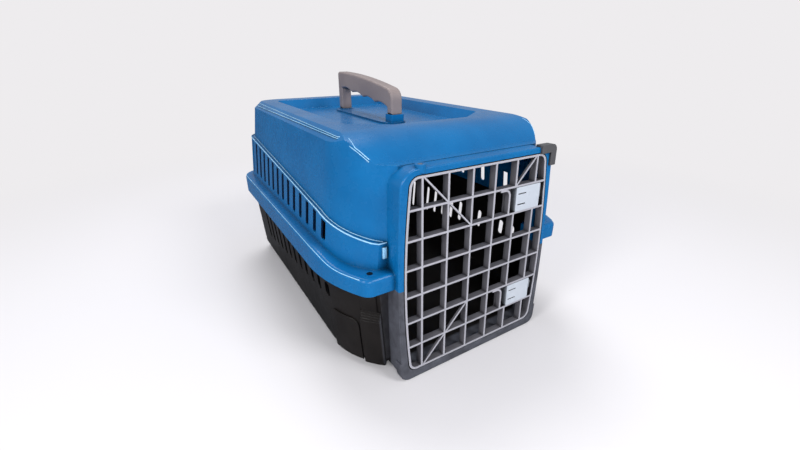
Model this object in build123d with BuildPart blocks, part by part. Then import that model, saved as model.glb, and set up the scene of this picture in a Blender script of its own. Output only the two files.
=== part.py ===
from build123d import *
from math import atan, cos, sin
import os

os.makedirs("parts", exist_ok=True)

# Pet carrier: a tub, a domed hood that sits over its rim, a grille door with
# two sliding latches, a corner clip on the front frame and a carrying handle.
# The door faces -Y, the length runs along Y and Z points up. All sizes in mm.

# Body
overall_length = 570.0      # foot of the front frame to the back of the flange
wall = 3.0                  # moulded wall of tub and hood
foot_height = 5.0           # ground to the underside of the tub
flange_half_width = 209.0   # the widest part, which the other widths follow
tub_top_half_width = flange_half_width - 12.0   # tub just under its rim
floor_half_width = tub_top_half_width - 13.0    # tub at its floor
floor_edge_radius = 20.0
rim_top = 182.0             # the tub's rim, on which the hood's ledge lies
rim_thickness = 4.0
rear_margin = 14.0          # from the back of the flange to the hood's back wall
rear_radius = 30.0
nose_length = 132.0         # from the foot of the front frame to the straight sides
nose_start = 34.0           # from the foot of the front frame to the body's front
nose_half_width = 138.0

# Flange and skirt of the hood
flange_nose_half_width = nose_half_width + 36.0
flange_nose_start = 15.0
flange_nose_radius = 16.0
flange_rear_radius = 45.0
skirt_bottom = 150.0        # also the line where tub and hood meet on the front frame
skirt_gap = 0.4
skirt_edge_radius = 6.0
ledge_dip = 11.0            # the ledge is this much lower at the front
ledge_front = 50.0          # from the foot of the front frame to the end of the lowered part

# Hood
band_half_width = tub_top_half_width - 4.0      # slotted lower band where it leaves the ledge
band_top_half_width = band_half_width - 9.0
band_nose_half_width = nose_half_width + 12.0
band_rear_height = 269.0    # top line of the band at the back
band_front_height = 230.0   # the same line at the start of the nose
band_nose_height = 210.0    # the same line at the front frame
hood_half_width = band_half_width - 3.0         # hood wall at the ledge, inside the band
eave_height = 325.0
eave_half_width = hood_half_width - 21.0
roof_height = 337.0
roof_half_width = eave_half_width - 14.0
roof_front = 122.0          # from the foot of the front frame to the flat roof
brow_back = 52.0            # from the foot of the front frame to the back of the top rim

# Recess in the roof around the handle
recess_depth = 18.0
recess_half_width = roof_half_width - 30.0
recess_front = 131.0        # from the foot of the front frame
recess_rear_margin = 34.0   # from the hood's back wall
recess_chamfer = 57.0       # the cut front corners, across the carrier
recess_chamfer_run = 41.0   # the same corners, along it
recess_draft = 35.0
recess_corner = 14.0
island_half_width = 24.0
island_height = 3.0

# Slots
slot_pitch = 31.0
slot_count = 14
slot_width = 12.0
slot_first = 116.0          # from the foot of the front frame
hood_slot_bottom = 193.0
hood_slot_margin = 4.0      # under the top line of the band
tub_slot_count = 12
tub_slot_top = 126.0
tub_slot_bottom_front = 102.0
tub_slot_bottom_rear = 58.0

# Front frame
lean_rise = 0.0342          # the front leans back by this share of its height
frame_top = 307.0
frame_half_top = 130.0
frame_half_mid = 136.0
frame_half_bottom = 132.0
frame_radius = 16.0         # bottom corners
frame_top_radius = 26.0
frame_edge = 2.5            # rounded front edge
frame_ear = 2.5             # the foot of the frame stands this much wider
frame_ear_height = 34.0
frame_ear_depth = 12.0
frame_depth = 42.0

# Door
cell = 40.0                 # pitch of the door's grid
door_bottom = 15.0
first_bar = 57.0            # height of the lowest full bar
row_count = 6
column_count = 6
door_top = 298.0
door_half_top = 117.0
door_half_mid = 127.0
door_half_bottom = 120.0
door_radius = 14.0
door_gap = 1.5
opening_overcut = 10.0      # the cut for the opening runs this far past the frame
bar_width = 2.8
rim_width = 3.0
door_depth = 11.0
diagonal_width = 2.2
brace_depth = 4.0

# Hinge
hinge_x = -100.0
pin_radius = 3.0
pin_gap = 0.3
pin_inset = 5.5             # pin axis behind the door's front face
boss_radius = 7.0
boss_height = 4.0
pin_bottom = 4.0            # lower end of the pin, up the door plane

# Latches
latch_width = 49.0
latch_row_lower = 0         # index of the bar under the lower latch
latch_row_upper = 4
latch_gap = 0.4
latch_overcut = 1.0         # cuts start this far outside the face they cut
latch_travel = 8.0           # from open, as drawn, to shut
latch_tab_height = 14.0
latch_tab_depth = 3.0
latch_tab_reach = 4.0       # past the door's edge when shut
latch_proud = 0.8           # in front of the door's face
latch_rail = 1.4            # ribs that hold the latch in its housing
latch_rail_depth = 2.4
latch_skin = 2.4
groove_front = 2.6          # from the door's face to the grooves
tray_thickness = 2.0
pocket_width = 12.0
pocket_radius = 9.0
latch_edge = 1.5
slit_margin = 4.0
latch_room_margin = 7.0     # from the latch's housing to the door's edge
slit_width = 1.6
slit_length = 16.0
slit_spread = 16.0

keeper_gap = 0.6

# Feet
foot_x = 120.0
foot_y = 190.0
foot_length = 60.0
foot_width = 16.0

# Corner clip
clip_wall = 3.0
clip_left = 104.0
clip_drop = 31.0
clip_depth = 12.0
clip_leg_width = 11.0
clip_bar_height = 12.0
clip_radius = 9.0
clip_side = 5.0             # beyond the frame's top corner

# Handle
handle_width = 22.0
handle_leg = 16.0
handle_front = 232.0        # front face of the front leg, from the foot of the frame
handle_span = 218.0         # over both legs
handle_front_seat = 334.0
handle_rear_seat = 323.0
handle_front_top = 373.0
handle_rear_top = 395.0
grip_height = 31.0
grip_waves = 4
grip_wave_depth = 4.0
front_drop = 2.0            # the grip is this much thinner at the front
handle_front_radius = 20.0
handle_rear_radius = 6.0
handle_edge = 3.5
handle_arch = 5.0           # rise of the grip's top over a straight line
post_width = 26.0
post_base = 306.0
tenon_width = 11.0
tenon_depth = 10.0
tenon_gap = 0.2
handle_screw_radius = 2.0
handle_screw_head_radius = 4.0
handle_screw_head = 3.0
handle_screw_floor = 7.0    # boss material under the head
handle_screw_grip = 8.0     # thread inside the tenon

# Flange screws
screw_radius = 2.0
screw_head_radius = 4.2
screw_head = 2.2
front_screw_inset = 11.0    # from the flange's front corner, across the carrier
front_screw_back = 32.0     # from the foot of the front frame
rear_screw_x = 120.0
rear_screw_inset = 8.5      # from the back of the flange
nut_across = 7.0
nut_height = 3.2

front_y = -overall_length / 2
rear_y = overall_length / 2
shoulder_y = front_y + nose_length
body_rear_y = rear_y - rear_margin
lean = atan(lean_rise)
ledge_top = rim_top + wall
ledge_front_y = front_y + ledge_front

# Derived places
handle_front_y = front_y + handle_front + handle_leg / 2
handle_rear_y = front_y + handle_front + handle_span - handle_leg / 2
handle_seats = [(handle_front_y, handle_front_seat), (handle_rear_y, handle_rear_seat)]
recess_floor = roof_height - recess_depth
first_column = (1 - column_count) / 2 * cell

# The door plane stands on the foot of the front frame and leans back.
# Its local x runs along X and its local y runs up the door.
door_plane = Plane(origin=(0, front_y, 0), x_dir=(1, 0, 0), z_dir=(0, -cos(lean), sin(lean)))


def body_shape(levels, inset, corner_radius, nose_half):
    """Body between leaning side walls, through levels of (height, half width), drawn in by inset.

    The nose curves in from the straight sides and leans with the lowest part of the wall.
    """
    low, low_half = levels[0]
    high, high_half = levels[1]
    top = levels[-1][0]
    slope = (high_half - low_half) / (high - low)
    with BuildPart() as shape:
        with BuildSketch(Plane.XZ):
            with BuildLine():
                right = [(half - inset, height) for height, half in levels]
                left = [(inset - half, height) for height, half in reversed(levels)]
                Polyline(*right, *left, close=True)
            make_face()
        extrude(amount=rear_y, both=True)
        with BuildSketch(Plane.XY.offset(low)):
            with Locations((0, (front_y + nose_start + body_rear_y) / 2)):
                Rectangle(2 * flange_half_width, body_rear_y - front_y - nose_start - 2 * inset)
        extrude(amount=top - low, mode=Mode.INTERSECT)
        back_edges = shape.faces().sort_by(Axis.Y)[-1].edges().filter_by(Axis.X, reverse=True)
        fillet(back_edges, corner_radius - inset)
        for side in (-1, 1):
            half = low_half - inset
            nose = (side * (nose_half - inset), front_y + nose_start + inset)
            with BuildSketch(Plane.XY.offset(low)):
                with BuildLine():
                    TangentArc((side * half, shoulder_y), nose, tangent=(0, -1))
                    Polyline(
                        nose,
                        (nose[0], front_y - nose_length),
                        (side * 2 * flange_half_width, front_y - nose_length),
                        (side * 2 * flange_half_width, shoulder_y),
                        (side * half, shoulder_y),
                    )
                make_face()
            extrude(amount=top, dir=(side * slope, 0, 1), mode=Mode.SUBTRACT)
    return shape.part


def flange_shape(bottom, top, inset):
    """Straight-sided slab with the outline of the flange, drawn in by inset."""
    half = flange_half_width - inset
    nose = (flange_nose_half_width - inset, front_y + flange_nose_start + inset)
    corner_radius = flange_rear_radius - inset
    with BuildPart() as slab:
        with BuildSketch(Plane.XY.offset(bottom)) as outline:
            with BuildLine():
                back = Line((0, rear_y - inset), (half - corner_radius, rear_y - inset))
                corner = JernArc(start=back @ 1, tangent=back % 1, radius=corner_radius, arc_size=-90)
                side = Line(corner @ 1, (half, shoulder_y))
                TangentArc(side @ 1, nose, tangent=side % 1)
                Line(nose, (0, nose[1]))
                mirror(about=Plane.YZ)
            make_face()
            front_ends = outline.vertices().group_by(Axis.Y)[0]
            front_corners = [end for end in front_ends if abs(end.X) > half / 2]
            fillet(front_corners, flange_nose_radius - inset)
        extrude(amount=top - bottom)
    return slab.part


def ledge_profile(drop):
    """Side view of everything under the ledge, lowered by drop, as a solid across the body."""
    low = ledge_top - ledge_dip - drop
    high = ledge_top - drop
    middle_y = (ledge_front_y + shoulder_y) / 2
    with BuildPart() as profile:
        with BuildSketch(Plane.YZ):
            with BuildLine():
                Polyline(
                    (shoulder_y, high),
                    (rear_y, high),
                    (rear_y, 0),
                    (front_y, 0),
                    (front_y, low),
                    (ledge_front_y, low),
                )
                Bezier((ledge_front_y, low), (middle_y, low), (middle_y, high), (shoulder_y, high))
            make_face()
        extrude(amount=flange_half_width, both=True)
    return profile.part


def carried_down(levels):
    """Levels of a body whose lowest wall runs on downward by the dip of the ledge."""
    low, low_half = levels[0]
    high, high_half = levels[1]
    slope = (high_half - low_half) / (high - low)
    return [(low - ledge_dip, low_half - slope * ledge_dip), *levels[1:]]


def roof_profile(drop):
    """Side view of the space under the roof skin, lowered by drop, as a solid across the body."""
    with BuildPart() as profile:
        with BuildSketch(Plane.YZ):
            with BuildLine():
                brow = (front_y + brow_back + drop, frame_top - drop)
                crown = (front_y + roof_front + drop, roof_height - drop)
                bottom = skirt_bottom - frame_depth
                Line((front_y, bottom), (front_y, frame_top - drop))
                Line((front_y, frame_top - drop), brow)
                TangentArc(crown, brow, tangent=(-1, 0))
                Line(crown, (rear_y, roof_height - drop))
                Line((rear_y, roof_height - drop), (rear_y, bottom))
                Line((rear_y, bottom), (front_y, bottom))
            make_face()
        extrude(amount=flange_half_width, both=True)
    return profile.part


def barrel_outline(bottom, top, half_bottom, half_mid, half_top, radius, top_radius, plane):
    """Door-like outline: flat bottom and top, sides that bow outward, round corners."""
    middle = (bottom + top) / 2
    with BuildSketch(plane) as outline:
        with BuildLine():
            Line((-half_bottom, bottom), (half_bottom, bottom))
            ThreePointArc((half_bottom, bottom), (half_mid, middle), (half_top, top))
            Line((half_top, top), (-half_top, top))
            ThreePointArc((-half_top, top), (-half_mid, middle), (-half_bottom, bottom))
        make_face()
        fillet(outline.vertices().group_by(Axis.Y)[0], radius)
        fillet(outline.vertices().group_by(Axis.Y)[-1], top_radius)
    return outline.sketch


def door_outline(grow, plane):
    """Outline of the door, grown by the given amount on every side."""
    return barrel_outline(
        door_bottom - grow,
        door_top + grow,
        door_half_bottom + grow,
        door_half_mid + grow,
        door_half_top + grow,
        door_radius + grow,
        door_radius + grow,
        plane,
    )


def frame_ring():
    """Front frame over its full height, without the door opening."""
    with BuildPart() as ring:
        outline = barrel_outline(
            0,
            frame_top / cos(lean),
            frame_half_bottom,
            frame_half_mid,
            frame_half_top,
            frame_radius,
            frame_top_radius,
            door_plane,
        )
        extrude(outline, amount=-frame_depth)
        fillet(ring.faces().sort_by(Axis(door_plane.origin, door_plane.z_dir))[-1].edges(), frame_edge)
    return ring.part


def frame_foot():
    """Wider lip at the foot of the front frame."""
    with BuildPart() as foot:
        outline = barrel_outline(
            0,
            frame_top / cos(lean),
            frame_half_bottom + frame_ear,
            frame_half_mid + frame_ear,
            frame_half_top + frame_ear,
            frame_radius,
            frame_top_radius,
            door_plane,
        )
        extrude(outline, amount=-frame_ear_depth)
        fillet(foot.faces().sort_by(Axis(door_plane.origin, door_plane.z_dir))[-1].edges(), frame_edge)
        with BuildSketch(Plane.XY.offset(frame_ear_height)):
            Rectangle(2 * overall_length, 2 * overall_length)
        extrude(amount=frame_top, mode=Mode.SUBTRACT)
    return foot.part


def door_opening():
    """Prism of the door opening, through the frame and the body's front wall."""
    with BuildPart() as opening:
        outline = door_outline(door_gap, door_plane.offset(opening_overcut))
        extrude(outline, amount=-frame_depth - 2 * opening_overcut)
    return opening.part


def band_profile(drop):
    """Side view of the slotted band under its top line, lowered by drop, across the body."""
    with BuildPart() as profile:
        with BuildSketch(Plane.YZ):
            with BuildLine():
                Polyline(
                    (front_y, rim_top - ledge_dip),
                    (front_y, band_nose_height - drop),
                    (front_y + nose_start + 2 * wall, band_nose_height - drop),
                    (shoulder_y, band_front_height - drop),
                    (rear_y, band_rear_height - drop),
                    (rear_y, rim_top - ledge_dip),
                    close=True,
                )
            make_face()
        extrude(amount=flange_half_width, both=True)
    return profile.part


def recess_shape(grow):
    """Recess in the roof around the handle, grown on every side."""
    front = front_y + recess_front - grow
    back = body_rear_y - recess_rear_margin + grow
    half = recess_half_width + grow
    with BuildPart() as recess:
        with BuildSketch(Plane.XY.offset(roof_height)) as top:
            with BuildLine():
                Polyline(
                    (-half, back),
                    (-half, front + recess_chamfer_run),
                    (recess_chamfer - half, front),
                    (half - recess_chamfer, front),
                    (half, front + recess_chamfer_run),
                    (half, back),
                    close=True,
                )
            make_face()
            fillet(top.vertices(), recess_corner)
        extrude(amount=-recess_depth - grow, taper=recess_draft)
    return recess.part


def slot_row(count, bottoms, tops):
    """Upright round-ended slots through both side walls, one for each bottom and top given."""
    with BuildPart() as slots:
        with BuildSketch(Plane.YZ):
            for index in range(count):
                place = front_y + slot_first + index * slot_pitch
                bottom = bottoms[index]
                top = tops[index]
                with Locations((place, (bottom + top) / 2)):
                    SlotOverall(top - bottom, slot_width, rotation=90)
        extrude(amount=flange_half_width, both=True)
    return slots.part


def band_line(place):
    """Height of the band's top line at a distance from the foot of the front frame."""
    rise = band_rear_height - band_front_height
    return band_front_height + rise * (place - nose_length) / (overall_length - nose_length)


tub_levels = [(foot_height, floor_half_width), (rim_top, tub_top_half_width)]
tub_slope = (tub_top_half_width - floor_half_width) / (rim_top - foot_height)
# The space inside the tub runs on above the rim, so that the tub is open at the top.
tub_space_levels = [
    (foot_height + wall, floor_half_width),
    (rim_top + wall, tub_top_half_width + wall * tub_slope),
]
hood_levels = [(rim_top, hood_half_width), (eave_height, eave_half_width), (roof_height, roof_half_width)]
hood_levels = carried_down(hood_levels)
hood_space_levels = [hood_levels[0], hood_levels[1], (roof_height - wall, roof_half_width)]
band_levels = carried_down([(rim_top, band_half_width), (band_rear_height, band_top_half_width)])
# The noses of hood and band are drawn at the foot of their walls, under the ledge.
hood_nose = nose_half_width + hood_levels[0][1] - hood_half_width
band_nose = band_nose_half_width + band_levels[0][1] - band_half_width

under_ledge = ledge_profile(wall)
tub_outer = body_shape(tub_levels, 0, rear_radius, nose_half_width) & under_ledge
tub_inner = body_shape(tub_space_levels, wall, rear_radius, nose_half_width)
hood_outer = body_shape(hood_levels, 0, rear_radius, hood_nose) & roof_profile(0)
hood_inner = body_shape(hood_space_levels, wall, rear_radius, hood_nose) & roof_profile(wall)
band_outer = body_shape(band_levels, 0, rear_radius, band_nose) & band_profile(0)
band_inner = body_shape(band_levels, wall, rear_radius, band_nose) & band_profile(wall)
ring = frame_ring()
foot_lip = frame_foot()
opening = door_opening()
recess_cut = recess_shape(0)
recess_bulk = recess_shape(wall)
skirt_block = flange_shape(skirt_bottom, ledge_top, 0) & ledge_profile(0)
skirt_pocket = flange_shape(skirt_bottom, rim_top, wall) & under_ledge
rim_block = flange_shape(skirt_bottom, rim_top, wall + skirt_gap) & under_ledge
rim_block = rim_block - ledge_profile(wall + rim_thickness)

hood_slot_tops = []
tub_slot_bottoms = []
for index in range(slot_count):
    place = slot_first + index * slot_pitch
    hood_slot_tops.append(band_line(place) + slot_width)
for index in range(tub_slot_count):
    share = index / (tub_slot_count - 1)
    tub_slot_bottoms.append(tub_slot_bottom_front + share * (tub_slot_bottom_rear - tub_slot_bottom_front))
hood_slots = slot_row(slot_count, [hood_slot_bottom] * slot_count, hood_slot_tops)
hood_slots = hood_slots & band_profile(hood_slot_margin)
tub_slots = slot_row(tub_slot_count, tub_slot_bottoms, [tub_slot_top] * tub_slot_count)

front_screw_x = flange_nose_half_width - front_screw_inset
front_screw_y = front_y + front_screw_back
front_screws = [(side * front_screw_x, front_screw_y, ledge_top - ledge_dip) for side in (-1, 1)]
rear_screws = [(side * rear_screw_x, rear_y - rear_screw_inset, ledge_top) for side in (-1, 1)]
flange_screw_places = front_screws + rear_screws

# Hinge: the pin's axis runs up the door plane through the first upright bar.
pin_plane = Plane(
    origin=door_plane.from_local_coords(Vector(hinge_x, 0, -pin_inset)),
    x_dir=(1, 0, 0),
    z_dir=door_plane.y_dir,
)
boss_top = frame_top / cos(lean) + boss_height

# Latches: each sits in one row of the grille at the free side of the door.
latch_rows = {"lower": latch_row_lower, "upper": latch_row_upper}
latch_left = first_column + (column_count - 2) * cell + latch_gap + bar_width / 2
latch_right = latch_left + latch_width
latch_half_height = (cell - bar_width) / 2 - latch_gap
latch_back = door_depth - tray_thickness - latch_gap
pocket_left = latch_left - pocket_width
latch_room_right = door_half_mid - latch_room_margin
latch_tip = door_half_mid + latch_tab_reach - latch_travel
clip_right = frame_half_top + clip_side
clip_top = frame_top / cos(lean) + clip_wall
keeper_front = latch_back - latch_tab_depth - keeper_gap
keeper_length = latch_tab_reach + door_gap + frame_half_mid - door_half_mid
keeper_end = door_half_mid + latch_tab_reach + keeper_gap
keeper_middle = keeper_end - keeper_length / 2

# Braces across the corner cells: two cells long at the hinge side, one at the upper latch corner.
last_column = -first_column
top_bar = first_bar + (row_count - 1) * cell
brace_lines = [
    ((first_column, door_top), (first_column + 2 * cell, top_bar - cell)),
    ((first_column, door_bottom), (first_column + 2 * cell, first_bar + cell)),
    ((last_column, door_top), (last_column - cell, top_bar)),
]


def latch_centre(row):
    """Height of a latch's middle on the door plane."""
    return first_bar + (row + 0.5) * cell


# Space inside the tub
with BuildPart() as tub_space:
    add(tub_inner)
    fillet(tub_space.edges().group_by(Axis.Z)[0], floor_edge_radius - wall)

# Space inside the hood, with the roof recess hanging into it
with BuildPart() as hood_space:
    add(hood_inner)
    add(recess_bulk, mode=Mode.SUBTRACT)

# Tub with its rim, floor, slots and the lower part of the front frame
with BuildPart() as base_tub:
    add(tub_outer)
    fillet(base_tub.edges().group_by(Axis.Z)[0], floor_edge_radius)
    add(rim_block)
    add(ring)
    add(foot_lip)
    add(tub_space.part, mode=Mode.SUBTRACT)
    add(opening, mode=Mode.SUBTRACT)
    # The hood's part of the front frame takes this space.
    with BuildSketch(Plane.XY.offset(skirt_bottom)):
        with Locations((0, front_y + nose_start + wall)):
            Rectangle(2 * (frame_half_mid + skirt_gap), 2 * frame_depth)
    extrude(amount=frame_top, mode=Mode.SUBTRACT)
    add(tub_slots, mode=Mode.SUBTRACT)
    # The leaning frame is cut level with the ground.
    with BuildSketch(Plane.XY):
        Rectangle(2 * overall_length, 2 * overall_length)
    extrude(amount=-frame_depth, mode=Mode.SUBTRACT)
    # Feet
    with BuildSketch(Plane.XY):
        with Locations((-foot_x, foot_y), (foot_x, foot_y), (-foot_x, -foot_y), (foot_x, -foot_y)):
            Rectangle(foot_width, foot_length)
    extrude(amount=foot_height + wall / 2)
    # Screw holes in the rim
    for x, y, top in flange_screw_places:
        with BuildSketch(Plane.XY.offset(top - wall)):
            with Locations((x, y)):
                Circle(screw_radius)
        extrude(amount=-rim_thickness, mode=Mode.SUBTRACT)
    # Blind hole for the lower hinge pin
    with BuildSketch(pin_plane.offset(pin_bottom - pin_gap)):
        Circle(pin_radius + pin_gap)
    extrude(amount=door_bottom, mode=Mode.SUBTRACT)
    # Keeper for the lower latch
    with BuildSketch(door_plane.offset(-keeper_front)):
        with Locations((keeper_middle, latch_centre(latch_row_lower))):
            Rectangle(keeper_length, latch_tab_height + 2 * keeper_gap)
    extrude(amount=-(latch_tab_depth + 2 * keeper_gap), mode=Mode.SUBTRACT)

base_tub.part.label = "base_tub"
export_step(base_tub.part, "parts/base_tub.step")

# Hood with its band, ledge, skirt, roof recess and the upper part of the front frame
with BuildPart() as hood_shell:
    add(skirt_block)
    # The edge all round the top is rounded, without the lines where the ledge starts to dip.
    round_edges = []
    for edge in hood_shell.edges():
        place = edge.center()
        dip_line = abs(place.X) < 1 and abs(place.Y) < -ledge_front_y + 1
        if place.Z > ledge_top - ledge_dip - 1 and not dip_line:
            round_edges.append(edge)
    fillet(round_edges, skirt_edge_radius)
    add(skirt_pocket, mode=Mode.SUBTRACT)
    add(hood_outer - under_ledge)
    add(band_outer - under_ledge)
    add(recess_cut, mode=Mode.SUBTRACT)
    add(ring)
    add(opening, mode=Mode.SUBTRACT)
    # The tub's part of the front frame starts here.
    with BuildSketch(Plane.XY.offset(skirt_bottom)):
        Rectangle(2 * overall_length, 2 * overall_length)
    extrude(amount=-frame_top, mode=Mode.SUBTRACT)
    add(hood_space.part, mode=Mode.SUBTRACT)
    add(band_inner, mode=Mode.SUBTRACT)
    add(hood_slots, mode=Mode.SUBTRACT)
    # Island and posts that carry the handle
    with BuildSketch(Plane.XY.offset(recess_floor - wall / 2)):
        with Locations((0, (handle_front_y + handle_rear_y) / 2)):
            SlotOverall(handle_rear_y - handle_front_y + post_width, 2 * island_half_width, rotation=90)
    extrude(amount=wall / 2 + island_height)
    for place, seat in handle_seats:
        with BuildSketch(Plane.XY.offset(post_base)):
            with Locations((0, place)):
                RectangleRounded(post_width, handle_leg + 2 * wall, wall)
        extrude(amount=seat - post_base)
        with BuildSketch(Plane.XY.offset(seat)):
            with Locations((0, place)):
                Rectangle(tenon_width + 2 * tenon_gap, tenon_width + 2 * tenon_gap)
        extrude(amount=-tenon_depth - tenon_gap, mode=Mode.SUBTRACT)
        with BuildSketch(Plane.XY.offset(post_base)):
            with Locations((0, place)):
                Circle(handle_screw_radius + tenon_gap)
        extrude(amount=seat - post_base, mode=Mode.SUBTRACT)
        with BuildSketch(Plane.XY.offset(post_base)):
            with Locations((0, place)):
                Circle(handle_screw_head_radius + tenon_gap)
        extrude(amount=seat - tenon_depth - tenon_gap - handle_screw_floor - post_base, mode=Mode.SUBTRACT)
    # Countersunk screw holes in the ledge
    with Locations(*flange_screw_places):
        CounterSinkHole(screw_radius, screw_head_radius, depth=wall)
    # Boss and bore for the upper hinge pin
    with BuildSketch(pin_plane.offset(door_top + wall)):
        Circle(boss_radius)
    extrude(amount=boss_top - door_top - wall)
    with BuildSketch(pin_plane.offset(door_top - wall)):
        Circle(pin_radius + pin_gap)
    extrude(amount=boss_top, mode=Mode.SUBTRACT)
    # Keeper for the upper latch
    with BuildSketch(door_plane.offset(-keeper_front)):
        with Locations((keeper_middle, latch_centre(latch_row_upper))):
            Rectangle(keeper_length, latch_tab_height + 2 * keeper_gap)
    extrude(amount=-(latch_tab_depth + 2 * keeper_gap), mode=Mode.SUBTRACT)

hood_shell.part.label = "hood_shell"
export_step(hood_shell.part, "parts/hood_shell.step")

# Grille door: rim, bars, short braces, latch housings and hinge pins
with BuildPart() as door_grille:
    with BuildSketch(door_plane) as grille:
        add(door_outline(0, Plane.XY))
        add(door_outline(-rim_width, Plane.XY), mode=Mode.SUBTRACT)
    extrude(amount=-door_depth)
    with BuildSketch(door_plane) as bars:
        with Locations((0, (door_bottom + door_top) / 2)):
            with GridLocations(cell, 0, column_count, 1):
                Rectangle(bar_width, door_top - door_bottom)
        for row in range(row_count):
            with Locations((0, first_bar + row * cell)):
                Rectangle(2 * door_half_mid, bar_width)
        add(door_outline(-rim_width / 2, Plane.XY), mode=Mode.INTERSECT)
    extrude(amount=-door_depth)
    with BuildSketch(door_plane) as braces:
        for start, end in brace_lines:
            with BuildLine() as brace:
                Line(start, end)
            trace(brace.line, line_width=diagonal_width)
        add(door_outline(-rim_width / 2, Plane.XY), mode=Mode.INTERSECT)
    extrude(amount=-brace_depth)
    for row in latch_rows.values():
        middle = latch_centre(row)
        # Clear the bars that would cross the latch.
        with BuildSketch(door_plane.offset(latch_overcut)):
            with Locations(((pocket_left + latch_room_right) / 2, middle)):
                Rectangle(latch_room_right - pocket_left, cell - bar_width)
        extrude(amount=-door_depth - 2 * latch_overcut, mode=Mode.SUBTRACT)
        # Tray behind the latch
        with BuildSketch(door_plane.offset(-door_depth)):
            with Locations(((pocket_left + latch_room_right) / 2, middle)):
                Rectangle(latch_room_right - pocket_left + 2 * bar_width, cell)
            add(door_outline(-rim_width / 2, Plane.XY), mode=Mode.INTERSECT)
        extrude(amount=tray_thickness)
        # Curved wall of the finger pocket
        with BuildSketch(door_plane):
            with BuildLine() as hook:
                FilletPolyline(
                    (pocket_left - 2 * pocket_radius, middle + cell / 2 - bar_width),
                    (pocket_left, middle + cell / 2 - bar_width),
                    (pocket_left, middle - cell / 2),
                    radius=pocket_radius,
                )
            trace(hook.line, line_width=bar_width)
        extrude(amount=-door_depth)
        # Grooves for the latch's ribs
        with BuildSketch(door_plane.offset(-groove_front)):
            with Locations(((pocket_left + bar_width / 2 + latch_room_right) / 2, middle)):
                Rectangle(
                    latch_room_right - pocket_left - bar_width / 2,
                    2 * (latch_half_height + latch_rail + latch_gap),
                )
        extrude(amount=-(latch_rail_depth + 2 * latch_gap), mode=Mode.SUBTRACT)
        # Slot in the door's rim for the latch's tab
        with BuildSketch(door_plane.offset(-(latch_back - latch_tab_depth - latch_gap))):
            with Locations(((latch_room_right + keeper_end) / 2, middle)):
                Rectangle(keeper_end - latch_room_right + 2 * latch_overcut, latch_tab_height + 2 * latch_gap)
        extrude(amount=-(latch_tab_depth + 2 * latch_gap), mode=Mode.SUBTRACT)
    # Hinge pins
    with BuildSketch(pin_plane.offset(pin_bottom)):
        Circle(pin_radius)
    extrude(amount=door_bottom + rim_width - pin_bottom)
    with BuildSketch(pin_plane.offset(door_top - rim_width)):
        Circle(pin_radius)
    extrude(amount=boss_top - door_top + rim_width)

door_grille.part.label = "door_grille"
export_step(door_grille.part, "parts/door_grille.step")


def slide_latch(row):
    """Sliding latch: hollow block with guide ribs, two spring slits and a flat tab."""
    middle = latch_centre(row)
    centre = latch_left + latch_width / 2
    with BuildPart() as latch:
        with BuildSketch(door_plane.offset(latch_proud)):
            with Locations((centre, middle)):
                Rectangle(latch_width, 2 * latch_half_height)
        extrude(amount=-latch_proud - latch_back)
        fillet(latch.edges().filter_by(Axis(door_plane.origin, door_plane.z_dir)), latch_edge)
        # Hollow back
        with BuildSketch(door_plane.offset(-latch_back)):
            with Locations((centre, middle)):
                Rectangle(latch_width - 2 * latch_skin, 2 * (latch_half_height - latch_skin))
        extrude(amount=latch_back + latch_proud - latch_skin, mode=Mode.SUBTRACT)
        # Guide ribs
        with BuildSketch(door_plane.offset(-groove_front - latch_gap)):
            with Locations((centre, middle)):
                Rectangle(latch_width - 2 * latch_edge, 2 * (latch_half_height + latch_rail))
                Rectangle(latch_width - 2 * latch_edge, 2 * latch_half_height - latch_skin, mode=Mode.SUBTRACT)
        extrude(amount=-latch_rail_depth)
        # Tab
        with BuildSketch(door_plane.offset(-latch_back)):
            with Locations(((latch_right - latch_skin + latch_tip) / 2, middle)):
                Rectangle(latch_tip - latch_right + latch_skin, latch_tab_height)
        extrude(amount=latch_tab_depth)
        # Slits that free the springy tongue
        with BuildSketch(door_plane.offset(latch_proud)):
            with Locations((latch_left + slit_margin + slit_length / 2, middle)):
                with GridLocations(0, slit_spread, 1, 2):
                    SlotOverall(slit_length, slit_width)
        extrude(amount=-latch_skin - latch_gap, mode=Mode.SUBTRACT)
    return latch.part


for name, row in latch_rows.items():
    latch_part = slide_latch(row)
    latch_part.label = "latch_" + name
    export_step(latch_part, "parts/latch_" + name + ".step")

# Clip over the top corner of the front frame, on the latch side
with BuildPart() as corner_clip:
    with BuildSketch(door_plane.offset(clip_wall)) as face:
        with BuildLine():
            Polyline(
                (clip_left, clip_top),
                (clip_right, clip_top),
                (clip_right, clip_top - clip_drop),
                (clip_right - clip_leg_width, clip_top - clip_drop),
                (clip_right - clip_leg_width, clip_top - clip_bar_height),
                (clip_left, clip_top - clip_bar_height),
                close=True,
            )
        make_face()
        fillet(face.vertices().sort_by(Axis.X)[-2:].sort_by(Axis.Y)[-1], clip_radius)
    extrude(amount=-clip_depth)
    add(ring, mode=Mode.SUBTRACT)
    add(hood_outer, mode=Mode.SUBTRACT)

corner_clip.part.label = "corner_clip"
export_step(corner_clip.part, "parts/corner_clip.step")

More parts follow.
